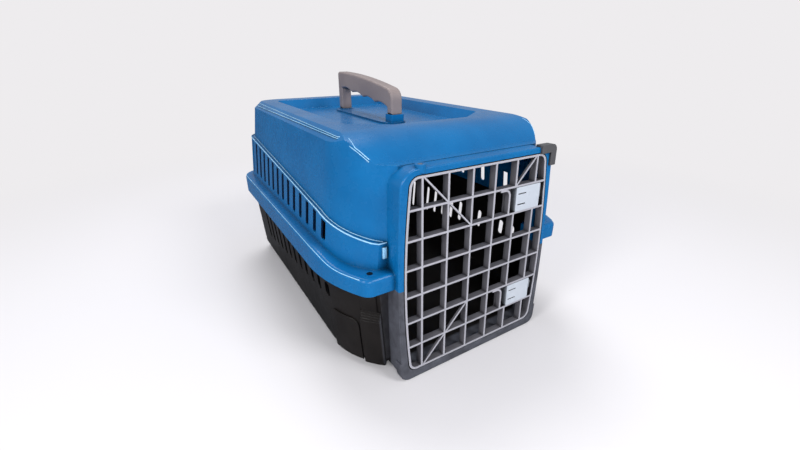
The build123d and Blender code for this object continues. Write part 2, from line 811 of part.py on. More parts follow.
# Carrying handle: two legs on the posts and a grip that drops towards the front
with BuildPart() as handle:
    with BuildSketch(Plane.YZ) as side_view:
        with BuildLine():
            front_face = handle_front_y - handle_leg / 2
            front_inner = handle_front_y + handle_leg / 2
            rear_inner = handle_rear_y - handle_leg / 2
            rear_face = handle_rear_y + handle_leg / 2
            Line((front_face, handle_front_seat), (front_face, handle_front_top))
            arch_top = (handle_front_top + handle_rear_top) / 2 + handle_arch
            arch_middle = ((front_face + rear_face) / 2, arch_top)
            ThreePointArc((front_face, handle_front_top), arch_middle, (rear_face, handle_rear_top))
            Line((rear_face, handle_rear_top), (rear_face, handle_rear_seat))
            Line((rear_face, handle_rear_seat), (rear_inner, handle_rear_seat))
            Line((rear_inner, handle_rear_seat), (rear_inner, handle_rear_top - grip_height))
            run = rear_inner - front_inner
            fall = (handle_rear_top - grip_height) - (handle_front_top - grip_height + front_drop)
            for wave in range(grip_waves):
                start_y = rear_inner - run * wave / grip_waves
                end_y = rear_inner - run * (wave + 1) / grip_waves
                start_z = handle_rear_top - grip_height - fall * wave / grip_waves
                end_z = handle_rear_top - grip_height - fall * (wave + 1) / grip_waves
                crest = (start_z + end_z) / 2 + grip_wave_depth
                ThreePointArc((start_y, start_z), ((start_y + end_y) / 2, crest), (end_y, end_z))
            Line((front_inner, handle_front_top - grip_height + front_drop), (front_inner, handle_front_seat))
            Line((front_inner, handle_front_seat), (front_face, handle_front_seat))
        make_face()
        fillet(side_view.vertices().group_by(Axis.X)[0].sort_by(Axis.Y)[-1], handle_front_radius)
        fillet(side_view.vertices().group_by(Axis.X)[-1].sort_by(Axis.Y)[-1], handle_rear_radius)
    extrude(amount=handle_width / 2, both=True)
    handle_sides = handle.faces().filter_by(Axis.X)
    fillet(handle_sides.edges(), handle_edge)
    for place, seat in handle_seats:
        with BuildSketch(Plane.XY.offset(seat - tenon_depth)):
            with Locations((0, place)):
                Rectangle(tenon_width, tenon_width)
        extrude(amount=tenon_depth + handle_edge)
        with BuildSketch(Plane.XY.offset(seat - tenon_depth)):
            with Locations((0, place)):
                Circle(handle_screw_radius)
        extrude(amount=handle_screw_grip, mode=Mode.SUBTRACT)

handle.part.label = "handle"
export_step(handle.part, "parts/handle.step")

# Screws that hold the handle from inside the hood
with BuildPart() as handle_screws:
    for place, seat in handle_seats:
        under = seat - tenon_depth - tenon_gap - handle_screw_floor
        with BuildSketch(Plane.XY.offset(under)):
            with Locations((0, place)):
                Circle(handle_screw_radius)
        extrude(amount=handle_screw_floor + tenon_gap + handle_screw_grip)
        with BuildSketch(Plane.XY.offset(under)):
            with Locations((0, place)):
                Circle(handle_screw_head_radius)
        extrude(amount=-handle_screw_head)

handle_screws.part.label = "handle_screws"
export_step(handle_screws.part, "parts/handle_screws.step")

# Countersunk screws through the ledge and the rim
with BuildPart() as flange_screws:
    for x, y, top in flange_screw_places:
        with BuildSketch(Plane.XY.offset(top)):
            with Locations((x, y)):
                Circle(screw_head_radius)
        with BuildSketch(Plane.XY.offset(top - screw_head)):
            with Locations((x, y)):
                Circle(screw_radius)
        loft()
        with BuildSketch(Plane.XY.offset(top - screw_head)):
            with Locations((x, y)):
                Circle(screw_radius)
        extrude(amount=-(wall - screw_head + rim_thickness + nut_height))

flange_screws.part.label = "flange_screws"
export_step(flange_screws.part, "parts/flange_screws.step")

# Nuts under the rim
with BuildPart() as flange_nuts:
    for x, y, top in flange_screw_places:
        with BuildSketch(Plane.XY.offset(top - wall - rim_thickness)):
            with Locations((x, y)):
                RegularPolygon(nut_across / 2, 6, major_radius=False)
                Circle(screw_radius, mode=Mode.SUBTRACT)
        extrude(amount=-nut_height)

flange_nuts.part.label = "flange_nuts"
export_step(flange_nuts.part, "parts/flange_nuts.step")
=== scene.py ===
# %% [markdown]
# # A hard pet carrier
# The carrier is a few thick plastic mouldings: a black tub, a blue hood with a frame for the
# door, a grey grille door with two white sliding latches, a grey corner clip and a handle.
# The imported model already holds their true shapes, so this lesson gives each one the finish of
# moulded plastic, adds the small moulded ribs and beads, and sets up the light and the camera.

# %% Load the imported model
import math

import bpy
from mathutils import Matrix, Vector


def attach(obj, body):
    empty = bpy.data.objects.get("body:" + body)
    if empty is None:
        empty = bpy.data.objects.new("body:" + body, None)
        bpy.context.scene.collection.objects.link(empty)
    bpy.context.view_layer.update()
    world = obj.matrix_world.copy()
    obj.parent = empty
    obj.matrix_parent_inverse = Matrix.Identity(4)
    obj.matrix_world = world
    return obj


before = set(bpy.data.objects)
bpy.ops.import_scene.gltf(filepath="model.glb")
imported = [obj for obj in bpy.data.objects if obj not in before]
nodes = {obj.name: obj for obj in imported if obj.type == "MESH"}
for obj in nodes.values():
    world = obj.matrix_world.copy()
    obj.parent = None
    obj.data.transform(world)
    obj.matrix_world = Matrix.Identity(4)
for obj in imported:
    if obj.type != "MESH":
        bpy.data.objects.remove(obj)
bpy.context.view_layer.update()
print("nodes", sorted(nodes))

# %% [markdown]
# ## Camera
# The view is from the front left and a little above, through a wide lens, close to the object.
# Its place was worked out from the square grid of the door, so the door's lines converge as
# they do in a picture taken from there.

# %% Camera
CAMERA_PLACE = (-0.3513, -0.6303, 0.4274)
CAMERA_TILT = math.radians(66.09)
CAMERA_TURN = math.radians(-31.752)
SENSOR_WIDTH_MM = 36.0
FOCAL_LENGTH_MM = 17.32
NEAR_LIMIT = 0.02
camera_data = bpy.data.cameras.new("camera")
camera_data.sensor_width = SENSOR_WIDTH_MM
camera_data.lens = FOCAL_LENGTH_MM
camera_data.clip_start = NEAR_LIMIT
camera = bpy.data.objects.new("camera", camera_data)
bpy.context.scene.collection.objects.link(camera)
camera.location = CAMERA_PLACE
camera.rotation_euler = (CAMERA_TILT, 0.0, CAMERA_TURN)
bpy.context.scene.camera = camera
print("camera at", tuple(camera.location))

# %% [markdown]
# ## Nodes and colours
# Every finish below is a small tree of shader nodes. One helper adds a node, sets its options
# and fills its sockets, either with a value or with another node's output. Colours are written
# as the hex codes that a picture editor shows, and turned into the linear light that the
# shader works in.


# %% Helpers for nodes and colours
def add_node(tree, kind, settings=None, inputs=None):
    """Add a shader node, set its options, and fill its sockets with values or links."""
    made = tree.nodes.new("ShaderNode" + kind)
    for key, value in (settings or {}).items():
        setattr(made, key, value)
    for key, value in (inputs or {}).items():
        if isinstance(value, bpy.types.NodeSocket):
            tree.links.new(value, made.inputs[key])
        else:
            made.inputs[key].default_value = value
    return made


def hex_colour(code):
    """Linear RGBA from an sRGB hex code."""
    parts = [int(code[i : i + 2], 16) / 255 for i in (1, 3, 5)]
    linear = [c / 12.92 if c <= 0.04045 else ((c + 0.055) / 1.055) ** 2.4 for c in parts]
    return (*linear, 1.0)


def per_mm(size):
    """Texture scale whose pattern repeats about every size millimetres."""
    return 1000.0 / size


print("blue", [round(c, 3) for c in hex_colour("#07619C")])

# %% [markdown]
# ## Moulded polypropylene
# The shells are injection-moulded polypropylene. It is a smooth, slightly waxy plastic with an
# index of refraction near 1.49. The skin is never quite flat: it has a fine grain from the
# mould's spark-eroded steel, soft waves where the wall sank as it cooled, and a colour that
# clouds a little where the melt flowed. A grain of half a millimetre is drawn here, which is
# coarser than the real one, so that it can be seen. Edges get a paler tone, worked out from how
# far the bevelled normal turns away from the true one: partly rubbing, because an edge gets
# scuffed first, and partly a painted highlight where light glances off the edge. Nooks that see
# little of their surroundings are painted darker, a painted shade in creases and recesses.


# %% Moulded plastic
REFRACTION = 1.49
CLOUD_MM, SCUFF_MM, PATCH_MM, WAVE_MM = 70, 9, 25, 45
PAINTED_SHADE_REACH, PAINTED_SHADE_TONE = 0.02, 0.12
SMOOTHER, DULLER = 0.05, 0.07


def moulded_plastic(name, base, shade, rough, grain_mm=0.6, grain_depth=0.04, wave_depth=0.25,
                    wear_and_highlight_tone="#FFFFFF", wear_and_highlight_amount=0.15, gloss=0.25, edge_mm=0.8):
    """Plastic with mould grain, sink waves, clouding, edges paler from wear and a painted
    highlight, and painted shade in nooks.
    """
    material = bpy.data.materials.new(name)
    material.use_nodes = True
    tree = material.node_tree
    tree.nodes.clear()
    place = add_node(tree, "TexCoord").outputs["Object"]
    clouds = add_node(tree, "TexNoise", inputs={
        "Vector": place, "Scale": per_mm(CLOUD_MM), "Detail": 3.0, "Roughness": 0.55})
    flow = add_node(tree, "MapRange", inputs={
        "Value": clouds.outputs["Fac"], "From Min": 0.35, "From Max": 0.65})
    body = add_node(tree, "Mix", {"data_type": "RGBA"}, {
        "Factor": flow.outputs["Result"], "A": hex_colour(base), "B": hex_colour(shade)})
    true_normal = add_node(tree, "NewGeometry").outputs["Normal"]
    soft_normal = add_node(tree, "Bevel", {"samples": 4}, {"Radius": edge_mm / 1000})
    turned = add_node(tree, "VectorMath", {"operation": "DOT_PRODUCT"}, {
        0: soft_normal.outputs["Normal"], 1: true_normal})
    scuffs = add_node(tree, "TexNoise", inputs={
        "Vector": place, "Scale": per_mm(SCUFF_MM), "Detail": 4.0, "Roughness": 0.7})
    scuffed = add_node(tree, "MapRange", inputs={
        "Value": scuffs.outputs["Fac"], "From Min": 0.42, "From Max": 0.62, "To Max": wear_and_highlight_amount})
    # Edges turn paler: partly wear, and partly a painted highlight where light glances off them.
    edge = add_node(tree, "MapRange", inputs={
        "Value": turned.outputs["Value"], "From Min": 0.97, "From Max": 0.75})
    edge_wear_and_highlight = add_node(tree, "Math", {"operation": "MULTIPLY"}, {
        0: edge.outputs["Result"], 1: scuffed.outputs["Result"]})
    colour = add_node(tree, "Mix", {"data_type": "RGBA"}, {
        "Factor": edge_wear_and_highlight.outputs["Value"], "A": body.outputs[2], "B": hex_colour(wear_and_highlight_tone)})
    # Painted shade: nooks that see little of their surroundings are darkened in the colour itself.
    nook_occlusion = add_node(tree, "AmbientOcclusion", {"samples": 8}, {"Distance": PAINTED_SHADE_REACH})
    painted_shade_factor = add_node(tree, "MapRange", inputs={
        "Value": nook_occlusion.outputs["AO"], "From Min": 0.3, "From Max": 0.8, "To Min": PAINTED_SHADE_TONE})
    with_painted_shade = add_node(tree, "Mix", {"data_type": "RGBA", "blend_type": "MULTIPLY"}, {
        "Factor": 1.0, "A": colour.outputs[2], "B": painted_shade_factor.outputs["Result"]})
    patches = add_node(tree, "TexNoise", inputs={
        "Vector": place, "Scale": per_mm(PATCH_MM), "Detail": 5.0, "Roughness": 0.6})
    dullness = add_node(tree, "MapRange", inputs={
        "Value": patches.outputs["Fac"], "From Min": 0.3, "From Max": 0.7,
        "To Min": rough - SMOOTHER, "To Max": rough + DULLER})
    grain = add_node(tree, "TexVoronoi", {"feature": "SMOOTH_F1"}, {
        "Vector": place, "Scale": per_mm(grain_mm), "Smoothness": 0.6})
    waves = add_node(tree, "TexNoise", inputs={
        "Vector": place, "Scale": per_mm(WAVE_MM), "Detail": 1.0})
    waved = add_node(tree, "Bump", inputs={
        "Height": waves.outputs["Fac"], "Strength": 0.35, "Distance": wave_depth / 1000,
        "Normal": soft_normal.outputs["Normal"]})
    grained = add_node(tree, "Bump", inputs={
        "Height": grain.outputs["Distance"], "Strength": 0.4, "Distance": grain_depth / 1000,
        "Normal": waved.outputs["Normal"]})
    shader = add_node(tree, "BsdfPrincipled", inputs={
        "Base Color": with_painted_shade.outputs[2], "Roughness": dullness.outputs["Result"],
        "IOR": REFRACTION, "Specular IOR Level": gloss, "Normal": grained.outputs["Normal"]})
    add_node(tree, "OutputMaterial", inputs={"Surface": shader.outputs["BSDF"]})
    return material


# Satin blue moulding with a soft sheen; its pale edge tone is a painted highlight where light
# grazes its rounded shoulders.
blue_polypropylene = moulded_plastic(
    "moulded_blue_polypropylene", "#07619C", "#0969A6", 0.26, wear_and_highlight_tone="#4FB4E8", wear_and_highlight_amount=0.6, gloss=0.3,
    wave_depth=0.4)
# A pale blue on the fine beads and lips, a painted highlight for the bright lines and spots where
# light glances off them.
painted_highlight_blue_polypropylene = moulded_plastic(
    "painted_highlight_blue_polypropylene", "#7CC0EC", "#A4D6F6", 0.25, wear_and_highlight_tone="#E8F6FF", wear_and_highlight_amount=0.8, gloss=0.6)
# Black regrind plastic, warm and a little cloudy, with a duller skin.
black_polypropylene = moulded_plastic(
    "moulded_black_polypropylene", "#171413", "#211E1D", 0.36, wear_and_highlight_tone="#5A5756", wear_and_highlight_amount=0.4)
# Cool white plastic of the latches, smooth and a little glossier.
white_abs = moulded_plastic(
    "moulded_white_abs", "#C2C9D3", "#B9C1CC", 0.30, grain_depth=0.02, wear_and_highlight_tone="#FFFFFF", wear_and_highlight_amount=0.1)
# Dark grey clip, plain satin.
dark_grey_polypropylene = moulded_plastic(
    "moulded_dark_grey_polypropylene", "#4E4E51", "#58585B", 0.45, wear_and_highlight_tone="#86868A", wear_and_highlight_amount=0.3)
# Warm grey handle, handled smooth on its edges.
warm_grey_polypropylene = moulded_plastic(
    "moulded_warm_grey_polypropylene", "#857A7B", "#918584", 0.48, wear_and_highlight_tone="#B4A9A6", wear_and_highlight_amount=0.4,
    edge_mm=1.5)
print("materials", [m.name for m in bpy.data.materials])

# %% [markdown]
# ## The grille's two greys
# The door's bars are deep and thin. Their long sides are a dark satin grey, and their narrow
# front edges are painted much paler, a painted highlight where they face the light.
# The finish mixes the two greys by how far a point lies behind the door's front face, measured
# along the door's own leaning axis, so the pale line stays on the edge when the door swings.

# %% Door finish
grey_polypropylene = moulded_plastic(
    "moulded_grey_polypropylene", "#5F5E64", "#69686E", 0.42, wear_and_highlight_tone="#B8B7BC", wear_and_highlight_amount=0.35)
FRONT = -0.285
LEAN = math.atan(0.0342)
PALE_TO, BODY_FROM = 0.0002, 0.0010


def second_tone(material, tone, amount):
    """Blend a plastic's colour to a second tone, by an amount taken from its own tree."""
    tree = material.node_tree
    shader = next(n for n in tree.nodes if n.type == "BSDF_PRINCIPLED")
    body = shader.inputs["Base Color"].links[0].from_socket
    mixed = add_node(tree, "Mix", {"data_type": "RGBA"}, {
        "Factor": amount, "A": body, "B": hex_colour(tone)})
    tree.links.new(mixed.outputs[2], shader.inputs["Base Color"])


def painted_highlight_front_edges(material, tone, pale_to, body_from):
    """Blend to a pale tone, a painted highlight, on the first stretch behind the door's leaning
    face.
    """
    tree = material.node_tree
    place = add_node(tree, "TexCoord").outputs["Object"]
    depth = add_node(tree, "VectorMath", {"operation": "DOT_PRODUCT"}, {
        0: place, 1: (0.0, math.cos(LEAN), -math.sin(LEAN))})
    face = FRONT * math.cos(LEAN)
    front = add_node(tree, "MapRange", {"interpolation_type": "SMOOTHSTEP"}, {
        "Value": depth.outputs["Value"], "From Min": face + body_from, "From Max": face + pale_to})
    second_tone(material, tone, front.outputs["Result"])


# Painted highlight on the bars' front edges.
painted_highlight_front_edges(grey_polypropylene, "#A9A9B2", PALE_TO, BODY_FROM)
print("door face at", round(FRONT, 4))

# %% [markdown]
# ## Painted reflection on the frame's flank
# The flanks of the black frame round the lower half of the door are painted greyer and cooler
# than the tub behind it: a painted reflection, because they catch more light than the tub's side.
# The tub's finish gets this second tone in front of the line where the frame meets the body.

# %% Frame flank
FRAME_BACK = -0.250
FLANK_BLEND = 0.004
STREAK_MM = 18


def painted_sheen_in_front(material, tone, start, end):
    """Blend to a streaky second tone in front of a place along the carrier's length."""
    tree = material.node_tree
    place = add_node(tree, "TexCoord").outputs["Object"]
    along = add_node(tree, "SeparateXYZ", inputs={"Vector": place}).outputs["Y"]
    front = add_node(tree, "MapRange", inputs={"Value": along, "From Min": end, "From Max": start})
    streaks = add_node(tree, "TexNoise", inputs={
        "Vector": place, "Scale": per_mm(STREAK_MM), "Detail": 4.0, "Roughness": 0.65})
    amount = add_node(tree, "Math", {"operation": "MULTIPLY"}, {
        0: front.outputs["Result"], 1: streaks.outputs["Fac"]})
    second_tone(material, tone, amount.outputs["Value"])


# Painted reflection: the frame's flanks are blended to a cool grey.
painted_sheen_in_front(black_polypropylene, "#6A6D78", FRAME_BACK - FLANK_BLEND, FRAME_BACK)
print("frame flank in front of", FRAME_BACK)

# %% [markdown]
# ## Cut faces inside the slots
# The slots go through the walls, and their cut faces lie in shade, so they get a painted shade
# far darker than the skin. They are the only faces that look forward or back at the height of
# the slots and out at the side walls, so place and direction together pick them out.

# %% Slot faces
SLOT_SIDE = 0.176
SLOT_FRONT, SLOT_REAR = -0.185, 0.235
LOOKS_ALONG = 0.6


def paint_shade_on_slot_faces(material, tone, bottom, top):
    """Give faces that look along Y, out at the sides and between two heights, a darker second tone
    as painted shade.
    """
    tree = material.node_tree
    place = add_node(tree, "TexCoord").outputs["Object"]
    at = add_node(tree, "SeparateXYZ", inputs={"Vector": place}).outputs
    normal = add_node(tree, "NewGeometry").outputs["True Normal"]
    looks = add_node(tree, "SeparateXYZ", inputs={"Vector": normal}).outputs["Y"]
    along = add_node(tree, "Math", {"operation": "ABSOLUTE"}, {0: looks}).outputs["Value"]
    aside = add_node(tree, "Math", {"operation": "ABSOLUTE"}, {0: at["X"]}).outputs["Value"]
    amount = 1.0
    for operation, value, limit in (
            ("GREATER_THAN", along, LOOKS_ALONG), ("GREATER_THAN", aside, SLOT_SIDE),
            ("GREATER_THAN", at["Z"], bottom), ("LESS_THAN", at["Z"], top),
            ("GREATER_THAN", at["Y"], SLOT_FRONT), ("LESS_THAN", at["Y"], SLOT_REAR)):
        test = add_node(tree, "Math", {"operation": operation}, {0: value, 1: limit})
        both = add_node(tree, "Math", {"operation": "MULTIPLY"}, {
            0: amount, 1: test.outputs["Value"]})
        amount = both.outputs["Value"]
    second_tone(material, tone, amount)


# Painted shade on the slots' cut faces, in the blue hood and the black tub.
paint_shade_on_slot_faces(blue_polypropylene, "#07203F", 0.188, 0.262)
paint_shade_on_slot_faces(black_polypropylene, "#060505", 0.057, 0.127)
print("slot faces darkened")

# %% [markdown]
# ## Screw finishes
# The screws that join the shells are steel. Zinc-plated steel is a metal: all its colour is in
# the reflection, and fine turning marks from the thread and head spread the highlight. The
# blackened ones are the same steel under a thin dark oxide.


# %% Screw steel
def screw_steel(name, base, shade, rough):
    """Plated steel with fine turning marks, about a third of a millimetre apart."""
    material = bpy.data.materials.new(name)
    material.use_nodes = True
    tree = material.node_tree
    tree.nodes.clear()
    place = add_node(tree, "TexCoord").outputs["Object"]
    marks = add_node(tree, "TexWave", {"bands_direction": "Z"}, {
        "Vector": place, "Scale": per_mm(1.0), "Distortion": 2.0, "Detail": 2.0})
    spots = add_node(tree, "TexNoise", inputs={"Vector": place, "Scale": per_mm(2), "Detail": 3.0})
    colour = add_node(tree, "Mix", {"data_type": "RGBA"}, {
        "Factor": spots.outputs["Fac"], "A": hex_colour(base), "B": hex_colour(shade)})
    turned = add_node(tree, "Bump", inputs={
        "Height": marks.outputs["Fac"], "Strength": 0.3, "Distance": 0.00005})
    shader = add_node(tree, "BsdfPrincipled", inputs={
        "Base Color": colour.outputs[2], "Metallic": 1.0, "Roughness": rough,
        "Normal": turned.outputs["Normal"]})
    add_node(tree, "OutputMaterial", inputs={"Surface": shader.outputs["BSDF"]})
    return material


zinc_steel = screw_steel("zinc_plated_steel", "#B9BCC0", "#9CA0A4", 0.32)
black_steel = screw_steel("blackened_steel", "#2E2E30", "#3C3C3E", 0.45)
print("screw finishes", zinc_steel.name, black_steel.name)

# %% [markdown]
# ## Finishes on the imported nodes
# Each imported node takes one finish. The two latches share a plastic, and the visible flange
# screws are blackened, while the hidden fasteners keep their zinc.

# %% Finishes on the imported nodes
finishes = {
    "base_tub": black_polypropylene,
    "hood_shell": blue_polypropylene,
    "door_grille": grey_polypropylene,
    "latch_lower": white_abs,
    "latch_upper": white_abs,
    "corner_clip": dark_grey_polypropylene,
    "handle": warm_grey_polypropylene,
    "handle_screws": zinc_steel,
    "flange_screws": black_steel,
    "flange_nuts": zinc_steel,
}
for node_name, finish in finishes.items():
    node = nodes[node_name]
    if not node.material_slots:
        node.data.materials.append(finish)
    for material_slot in node.material_slots:
        material_slot.material = finish
print("finished", len(finishes), "nodes")

# %% [markdown]
# ## Modelling helpers
# Operators work on whatever is selected, so each piece starts from nothing selected. A finished
# piece gets its modifiers applied, its place moved into its mesh, and is then told which body
# it moves with and which finish it takes.


# %% Modelling helpers
WELD = 0.00001


def clear_selection():
    """Leave nothing selected."""
    bpy.ops.object.select_all(action="DESELECT")


def pick(piece):
    """Select one piece alone and make it the active one."""
    clear_selection()
    piece.select_set(True)
    bpy.context.view_layer.objects.active = piece


def edit(piece):
    """Open a piece in edit mode with nothing selected."""
    pick(piece)
    bpy.ops.object.mode_set(mode="EDIT")
    bpy.ops.mesh.select_all(action="DESELECT")


def edit_parts(piece, kind, chosen):
    """Open a piece in edit mode with only the faces or edges that pass a test selected."""
    edit(piece)
    bpy.ops.object.mode_set(mode="OBJECT")
    for part in piece.data.polygons if kind == "FACE" else piece.data.edges:
        part.select = chosen(part)
    bpy.ops.object.mode_set(mode="EDIT")
    bpy.ops.mesh.select_mode(type=kind)


def close_welded():
    """Join the open piece's doubled points, turn its faces outward, and leave edit mode."""
    bpy.ops.mesh.select_all(action="SELECT")
    bpy.ops.mesh.remove_doubles(threshold=WELD)
    bpy.ops.mesh.normals_make_consistent(inside=False)
    bpy.ops.object.mode_set(mode="OBJECT")


def box(size, place, turn=(0.0, 0.0, 0.0)):
    """Cube squeezed to a size, turned, and moved to its place."""
    clear_selection()
    bpy.ops.mesh.primitive_cube_add(size=1.0)
    piece = bpy.context.active_object
    piece.dimensions = size
    piece.rotation_euler = turn
    piece.location = place
    bpy.ops.object.transform_apply(location=True, rotation=True, scale=True)
    return piece


def round_edges(piece, width, segments, turn=30.0):
    """Round the edges where the surface turns by more than an angle in degrees."""
    bevel = piece.modifiers.new("bevel", "BEVEL")
    bevel.width = width
    bevel.segments = segments
    bevel.limit_method = "ANGLE"
    bevel.angle_limit = math.radians(turn)


def keep(piece, name, body, finish, angle=35.0):
    """Apply place and modifiers, smooth the shallow edges, and hand the piece to its body."""
    pick(piece)
    bpy.ops.object.transform_apply(location=True, rotation=True, scale=True)
    for modifier in list(piece.modifiers):
        bpy.ops.object.modifier_apply(modifier=modifier.name)
    bpy.ops.object.shade_smooth_by_angle(angle=math.radians(angle))
    piece.name = name
    piece.data.name = name
    piece.data.materials.clear()
    piece.data.materials.append(finish)
    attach(piece, body)
    print(name, len(piece.data.polygons), "faces")
    return piece


def mirrored(piece, name, body, finish):
    """Copy of a piece on the other side of the carrier, with its own mesh."""
    twin = piece.copy()
    twin.data = piece.data.copy()
    twin.parent = None
    twin.matrix_world = Matrix.Identity(4)
    bpy.context.scene.collection.objects.link(twin)
    twin.data.transform(Matrix.Scale(-1.0, 4, (1.0, 0.0, 0.0)))
    edit(twin)
    bpy.ops.mesh.select_all(action="SELECT")
    bpy.ops.mesh.normals_make_consistent(inside=False)
    bpy.ops.object.mode_set(mode="OBJECT")
    return keep(twin, name, body, finish)


def keep_pair(piece, name, finish):
    """Keep a piece as the left one of a pair, with its mirror image on the right."""
    left = keep(piece, name + "_left", "carrier", finish)
    mirrored(left, name + "_right", "carrier", finish)


def bead(points, radius):
    """Half-round moulded bead: a curve through points with a round section, made a mesh."""
    curve = bpy.data.curves.new("bead", "CURVE")
    curve.dimensions = "3D"
    curve.bevel_depth = radius
    curve.bevel_resolution = 3
    curve.use_fill_caps = True
    spline = curve.splines.new("POLY")
    spline.points.add(len(points) - 1)
    for point, place in zip(spline.points, points):
        point.co = (*place, 1.0)
    piece = bpy.data.objects.new("bead", curve)
    bpy.context.scene.collection.objects.link(piece)
    pick(piece)
    bpy.ops.object.convert(target="MESH")
    piece = bpy.context.view_layer.objects.active
    edit(piece)
    close_welded()
    return piece


def bead_pair(name, points, radius):
    """Lay a bead in pale blue, a painted highlight, through points on the left side, and its
    mirror image on the right.
    """
    keep_pair(bead(points, radius), name, painted_highlight_blue_polypropylene)


print("helpers ready, welding at", WELD)

# %% [markdown]
# ## The walls' nose curve
# The side walls run straight and then curve in to the front frame on a quarter-like arc that
# leaves the straight wall without a kink. The beads and panels on that part follow the same
# arc, so one function gives its points: it finds the circle that touches the straight wall at
# the shoulder and passes through the nose.

# %% Nose curve
LENGTH = 0.570
SHOULDER = FRONT + 0.132
NOSE = FRONT + 0.034
# Each wall: its half width, its half width at the nose, the height where it has those widths,
# and how far it leans outward for each metre of height.
TUB_WALL = (0.184, 0.138, 0.005, 13.0 / 177.0)
BAND_WALL = (0.193, 0.150, 0.182, -9.0 / 87.0)
HOOD_WALL = (0.190, 0.138, 0.182, -21.0 / 143.0)


def nose_circle(half, nose_half, nose=NOSE):
    """Centre x and radius of the arc from the straight wall at half to the nose."""
    run = half - nose_half
    depth = SHOULDER - nose
    radius = (run * run + depth * depth) / (2 * run)
    return half - radius, radius


def wall_point(wall, y, height):
    """Point on a leaning wall, on its straight or curved part, on the -X side."""
    half, nose_half, bottom, slope = wall
    x = half
    if y < SHOULDER:
        centre, radius = nose_circle(half, nose_half)
        x = centre + math.sqrt(radius * radius - (SHOULDER - y) ** 2)
    return Vector((-(x + slope * (height - bottom)), y, height))


def spaced(start, end, count, first=0):
    """Values from start to end in count equal steps, leaving out those before first."""
    return [start + (end - start) * step / count for step in range(first, count + 1)]


print("tub arc", [round(v, 4) for v in nose_circle(*TUB_WALL[:2])])

# %% [markdown]
# ## Beads along the slotted band
# The slotted part of the hood stands out from the wall above it, and a narrow ledge joins the
# two. The ledge's outer edge carries a fine bead and there is another in the crease behind it,
# and together they catch the two bright lines that run the whole length of the carrier. The
# beads rise to the back in a straight line, dip round the nose, and run level across the back.

# %% Band beads
REAR = FRONT + LENGTH - 0.014
REAR_RADIUS = 0.030
BEND = NOSE + 0.006
BAND_LOW, NOSE_RISE = 0.210, 0.020
BAND_SHOULDER, REAR_RISE = 0.230, 0.039
FRAME_SIDE = 0.1362
LEDGE_LIFT = 0.0001
CREASE_INSET = 0.004
QUARTER = math.radians(90)


def band_height(y):
    """Height of the band's top line at a place along the carrier."""
    if y < SHOULDER:
        return BAND_LOW + NOSE_RISE * max(0.0, (y - BEND) / (SHOULDER - BEND))
    return BAND_SHOULDER + REAR_RISE * (y - SHOULDER) / (FRONT + LENGTH - SHOULDER)


def band_path(wall, start):
    """Points along the band's top line on the -X side, from start to the middle of the back."""
    corner_start = REAR - REAR_RADIUS
    path = []
    for y in spaced(start, SHOULDER, 14) + spaced(SHOULDER, corner_start, 9, 1):
        path.append(wall_point(wall, y, band_height(y) + LEDGE_LIFT))
    rear_half = -path[-1].x
    for angle in spaced(0.0, QUARTER, 8, 1):
        x = rear_half - REAR_RADIUS + REAR_RADIUS * math.cos(angle)
        y = corner_start + REAR_RADIUS * math.sin(angle)
        path.append(Vector((-x, y, band_height(y) + LEDGE_LIFT)))
    path.append(Vector((0.0, REAR, band_height(REAR) + LEDGE_LIFT)))
    return path


frame_end = Vector((-FRAME_SIDE, NOSE, BAND_LOW + LEDGE_LIFT))
# The beads' pale blue is a painted highlight for the two bright lines.
bead_pair("band_bead", [frame_end] + band_path(BAND_WALL, NOSE), 0.0010)
bead_pair("crease_bead", band_path(HOOD_WALL, NOSE + CREASE_INSET), 0.0008)

# %% [markdown]
# ## Ribs on the roof's shoulders
# A flat rib runs along each sloping shoulder of the roof. Seen from the side its two edges
# catch the light as a fine double line, which closes to a point near the front. The rib starts
# as a cube squeezed to size and turned to lie on the slope. Its front end is pinched together,
# and a fine bead is laid along each edge.

# %% Shoulder ribs
EAVE = Vector((0.169, 0.0, 0.325))
ROOF_EDGE = Vector((0.155, 0.0, 0.337))
TILT = math.atan2(ROOF_EDGE.z - EAVE.z, EAVE.x - ROOF_EDGE.x)
RIB_FRONT, RIB_BACK = FRONT + 0.108, REAR - 0.034
RIB_WIDTH, RIB_THICKNESS, RIB_SINK = 0.0068, 0.003, 0.0004
RIB_PINCH = 0.35
middle = (EAVE + ROOF_EDGE) / 2
rib = box((RIB_WIDTH, RIB_BACK - RIB_FRONT, RIB_THICKNESS),
          (-middle.x, (RIB_FRONT + RIB_BACK) / 2, middle.z - RIB_SINK), (0.0, -TILT, 0.0))
for vertex in rib.data.vertices:
    if vertex.co.y < RIB_FRONT + 0.001:
        vertex.co.x = -middle.x + (vertex.co.x + middle.x) * RIB_PINCH
        vertex.co.z = middle.z + (vertex.co.z - middle.z) * RIB_PINCH
round_edges(rib, 0.0009, 3)
keep_pair(rib, "shoulder_rib", blue_polypropylene)

# %% Beads on the ribs
across = Vector((-math.cos(TILT), 0.0, -math.sin(TILT)))
off = Vector((-math.sin(TILT), 0.0, math.cos(TILT)))
RIB_PROUD = 0.0010
FINE_BEAD = 0.0006
rib_starts = {}
for label, side in (("upper", -1), ("lower", 1)):
    path = []
    for y, pinch in ((RIB_FRONT + 0.002, RIB_PINCH), (RIB_BACK - 0.002, 1.0)):
        shift = across * (side * pinch * RIB_WIDTH / 2)
        path.append(Vector((-middle.x, y, middle.z)) + shift + off * RIB_PROUD)
    rib_starts[label] = path[0].copy()
    bead_pair("rib_bead_" + label, path, FINE_BEAD)

# %% [markdown]
# ## Beads down the brow
# In front of the ribs the roof curves down to the frame, and the double line runs on down the
# brow's side edge, where the curved roof meets the wall.

# %% Brow beads
BROW_BACK, BROW_HEIGHT = FRONT + 0.052, 0.307
CROWN, ROOF_HEIGHT = FRONT + 0.122, 0.337
BEAD_START, BEAD_END = FRONT + 0.106, BROW_BACK + 0.006


